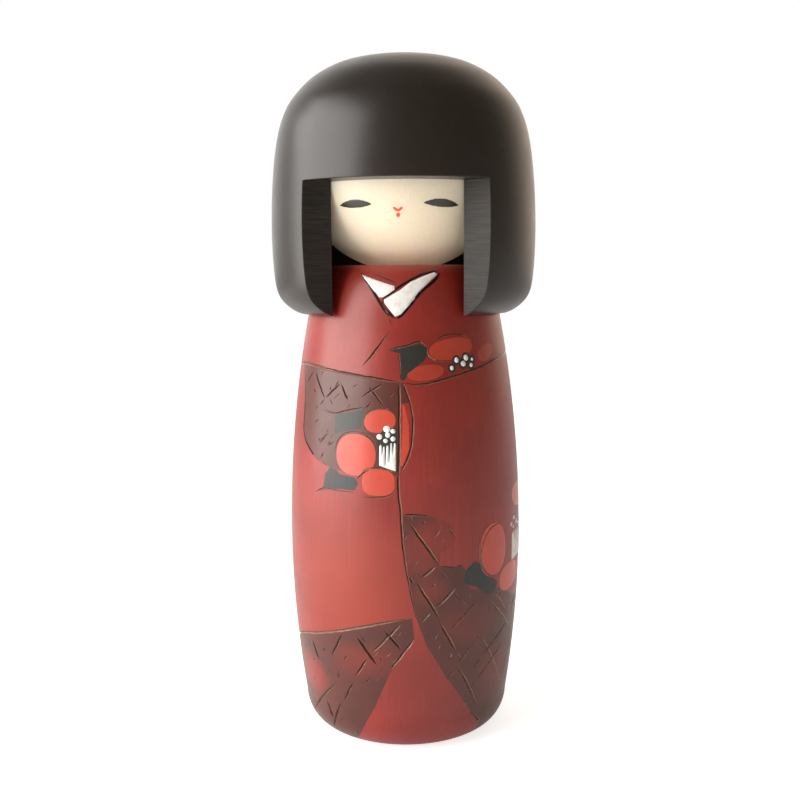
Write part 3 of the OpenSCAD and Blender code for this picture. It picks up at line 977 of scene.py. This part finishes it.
join(bore_rings[0], outer_rings[0], False)

# %% Cheeks and the underside of the fringe
for end, flip in ((0, False), (BACK, True)):
    strips = []
    for i in range(FRINGE_ROW + 1):
        a, b = Vector(hair_points[outer_rings[i][end]]), Vector(hair_points[bore_rings[i][end]])
        strip = [outer_rings[i][end]]
        for share in np.linspace(0, 1, 7)[1:-1]:
            hair_points.append(tuple(a.lerp(b, share)))
            strip.append(len(hair_points) - 1)
        strips.append(strip + [bore_rings[i][end]])
    for i in range(FRINGE_ROW):
        for j in range(6):
            quad = (strips[i][j], strips[i + 1][j], strips[i + 1][j + 1], strips[i][j + 1])
            hair_faces.append(quad[::-1] if flip else quad)
            hair_slots.append(1)
    if end == 0:
        cheek_left_top = strips[-1]
    else:
        cheek_right_top = strips[-1]
outer_arc, bore_arc = [rings[FRINGE_ROW][BACK:] + rings[FRINGE_ROW][:1] for rings in (outer_rings,
                                                                                      bore_rings)]
columns = [cheek_right_top]
for a, b in zip(outer_arc[1:-1], bore_arc[1:-1]):
    column = [a]
    for share in np.linspace(0, 1, 7)[1:-1]:
        hair_points.append(tuple(Vector(hair_points[a]).lerp(Vector(hair_points[b]), share)))
        column.append(len(hair_points) - 1)
    columns.append(column + [b])
columns.append(cheek_left_top)
# The underside of the fringe is sawn like the cheeks but takes the darker hair lacquer instead of the sawn
# finish: painted shade under the fringe.
for left, right in zip(columns, columns[1:]):
    for j in range(6):
        hair_faces.append((left[j], left[j + 1], right[j + 1], right[j]))
        hair_slots.append(0)

# %% [markdown]
# The sawn edges were rubbed down with the lacquer, which leaves a hair-thin round along them
# that catches the light as a pale line. A bevel only on those edges gives it.

# %% Bell mesh with rubbed edges
hair_mesh = bpy.data.meshes.new("hair_turned_bell")
hair_mesh.from_pydata(hair_points, [], hair_faces)
hair_mesh.materials.append(hair_lacquer)
hair_mesh.materials.append(sawn_cheek)
hair_mesh.polygons.foreach_set("material_index", hair_slots)
hair_mesh.polygons.foreach_set("use_smooth", [True] * len(hair_faces))
work = bmesh.new()
work.from_mesh(hair_mesh)
bmesh.ops.recalc_face_normals(work, faces=work.faces)
rubbed = work.edges.layers.float.get("bevel_weight_edge") or work.edges.layers.float.new("bevel_weight_edge")
sharp_count = 0
for edge in work.edges:
    if len(edge.link_faces) == 2 and edge.calc_face_angle(0) > math.radians(30):
        mid = (edge.verts[0].co + edge.verts[1].co) / 2
        reach = math.hypot(mid.x, mid.y) / MM
        if reach > HEAD_R + 1.2 and mid.z / MM > RIM_Z + 0.8 and mid.z / MM < FRINGE_Z + 0.5:
            edge[rubbed] = 1.0
            sharp_count += 1
work.to_mesh(hair_mesh)
work.free()
hair_mesh.set_sharp_from_angle(angle=math.radians(35))
hair = bpy.data.objects.new("hair_turned_bell", hair_mesh)
bpy.context.collection.objects.link(hair)
rub = hair.modifiers.new("rubbed_edges", "BEVEL")
rub.limit_method, rub.width, rub.segments, rub.use_clamp_overlap = "WEIGHT", 0.22 * MM, 3, False
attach(hair, "head_and_hair")
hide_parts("hair")
print("hair faces:", len(hair_faces), "rubbed edges:", sharp_count)

# %% [markdown]
# ## Studio
# The doll stands on a white sheet. One large soft panel stands on the camera's left and
# a little in front, with a small lamp beside it for the spot high on the hair. Everything
# behind is white, warmer on the right, so both sides of the glossy shapes end in a bright
# line; in front the room is dim, so the middle of the hair stays dark. The hair shades the
# face, so a low warm card throws some light up into the window. Only the head takes it, and
# only the hair shades it, so it reaches the chin.
# The sheet glows faintly so that it reads as pure white and still takes a contact shadow.

# %% Floor
floor_mesh = bpy.data.meshes.new("white_sheet")
half = 3.0
corners = [(-half, -half, 0), (half, -half, 0), (half, half, 0), (-half, half, 0)]
floor_mesh.from_pydata(corners, [], [(0, 1, 2, 3)])
floor = bpy.data.objects.new("white_sheet", floor_mesh)
bpy.context.collection.objects.link(floor)
sheet_paper, tree = new_finish("white_paper_sheet")
seen = add(tree, "ShaderNodeLightPath").outputs["Is Camera Ray"]
strength = add(tree, SPREAD, {0: seen, 3: 0.25, 4: 0.75})
glow = add(tree, "ShaderNodeEmission", {"Color": (1, 1, 1, 1), "Strength": strength.outputs[0]})
paper = add(tree, "ShaderNodeBsdfDiffuse", {"Color": (0.8, 0.8, 0.8, 1)})
both = add(tree, "ShaderNodeAddShader", {0: glow.outputs[0], 1: paper.outputs[0]})
add(tree, "ShaderNodeOutputMaterial", {"Surface": both.outputs[0]})
floor_mesh.materials.append(sheet_paper)
floor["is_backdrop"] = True

# %% Panel and room
panel_light = bpy.data.lights.new("soft_panel_left", "AREA")
panel_light.shape, panel_light.size, panel_light.size_y, panel_light.energy = "RECTANGLE", 0.72, 0.75, 8.2
panel_light.color = (1.0, 0.98, 0.95)
panel = bpy.data.objects.new("soft_panel_left", panel_light)
panel_place = Vector((-0.53, -0.22, 0.25))
panel.matrix_world = (Matrix.Translation(panel_place)
                      @ (Vector((0, 0, 0.11)) - panel_place).to_track_quat("-Z", "Y").to_matrix().to_4x4())
bpy.context.collection.objects.link(panel)

card_light = bpy.data.lights.new("warm_card_low_front", "AREA")
card_light.shape, card_light.size, card_light.size_y, card_light.energy = "RECTANGLE", 0.5, 0.1, 0.47
card_light.color = (1.0, 0.92, 0.78)
card = bpy.data.objects.new("warm_card_low_front", card_light)
card_place = Vector((-0.10, -0.20, -0.08))
card.matrix_world = (Matrix.Translation(card_place)
                     @ (Vector((0, 0, 0.14)) - card_place).to_track_quat("-Z", "Y").to_matrix().to_4x4())
card.visible_glossy = False
lit_by_card = bpy.data.collections.new("lit_by_card")
for piece in bpy.data.objects:
    if piece.name.startswith(("head_turned", "eye_", "mouth_")):
        lit_by_card.objects.link(piece)
card.light_linking.receiver_collection = lit_by_card
shades_card = bpy.data.collections.new("shades_card")
shades_card.objects.link(hair)
shades_card.objects.link(head)
card.light_linking.blocker_collection = shades_card
bpy.context.collection.objects.link(card)

lamp_light = bpy.data.lights.new("small_lamp_high_left", "AREA")
lamp_light.shape, lamp_light.size, lamp_light.energy = "DISK", 0.11, 0.12
lamp = bpy.data.objects.new("small_lamp_high_left", lamp_light)
lamp_place = Vector((-0.50, 0.11, 0.36))
lamp.matrix_world = (Matrix.Translation(lamp_place)
                     @ (Vector((0, 0, 0.16)) - lamp_place).to_track_quat("-Z", "Y").to_matrix().to_4x4())
bpy.context.collection.objects.link(lamp)

room = bpy.data.worlds.new("white_backdrop_dim_front")
room.use_nodes = True
bpy.context.scene.world = room
tree = room.node_tree
tree.nodes.clear()
direction = add(tree, "ShaderNodeSeparateXYZ", {0: add(tree, PLACE).outputs["Generated"]})
behind = add(tree, SPREAD, {0: direction.outputs["Y"], 1: 0.20, 2: 0.90, 3: 0.22, 4: 1.5},
             interpolation_type="SMOOTHSTEP")
seen = add(tree, "ShaderNodeLightPath").outputs["Is Camera Ray"]
level = add(tree, MIX, {0: seen, 2: behind.outputs[0], 3: 1.0}, data_type="FLOAT")
to_right = add(tree, SPREAD, {0: direction.outputs["X"], 1: -0.6, 2: 0.5}, interpolation_type="SMOOTHSTEP")
tint = add(tree, MIX, {0: to_right.outputs[0], 6: chip("#FFFDFA"), 7: chip("#FFEBD6")}, data_type="RGBA")
unseen = add(tree, MIX, {0: seen, 6: tint.outputs[2], 7: chip("#FFFFFF")}, data_type="RGBA")
light = add(tree, "ShaderNodeBackground", {"Color": unseen.outputs[2], "Strength": level.outputs[0]})
add(tree, "ShaderNodeOutputWorld", {"Surface": light.outputs[0]})

# %% [markdown]
# ## Size and finish
# Last, the box of the finished doll is printed in millimetres.

# %% Box of the finished doll
low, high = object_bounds()
print("doll, mm:", [round((b - a) / MM, 2) for a, b in zip(low, high)])
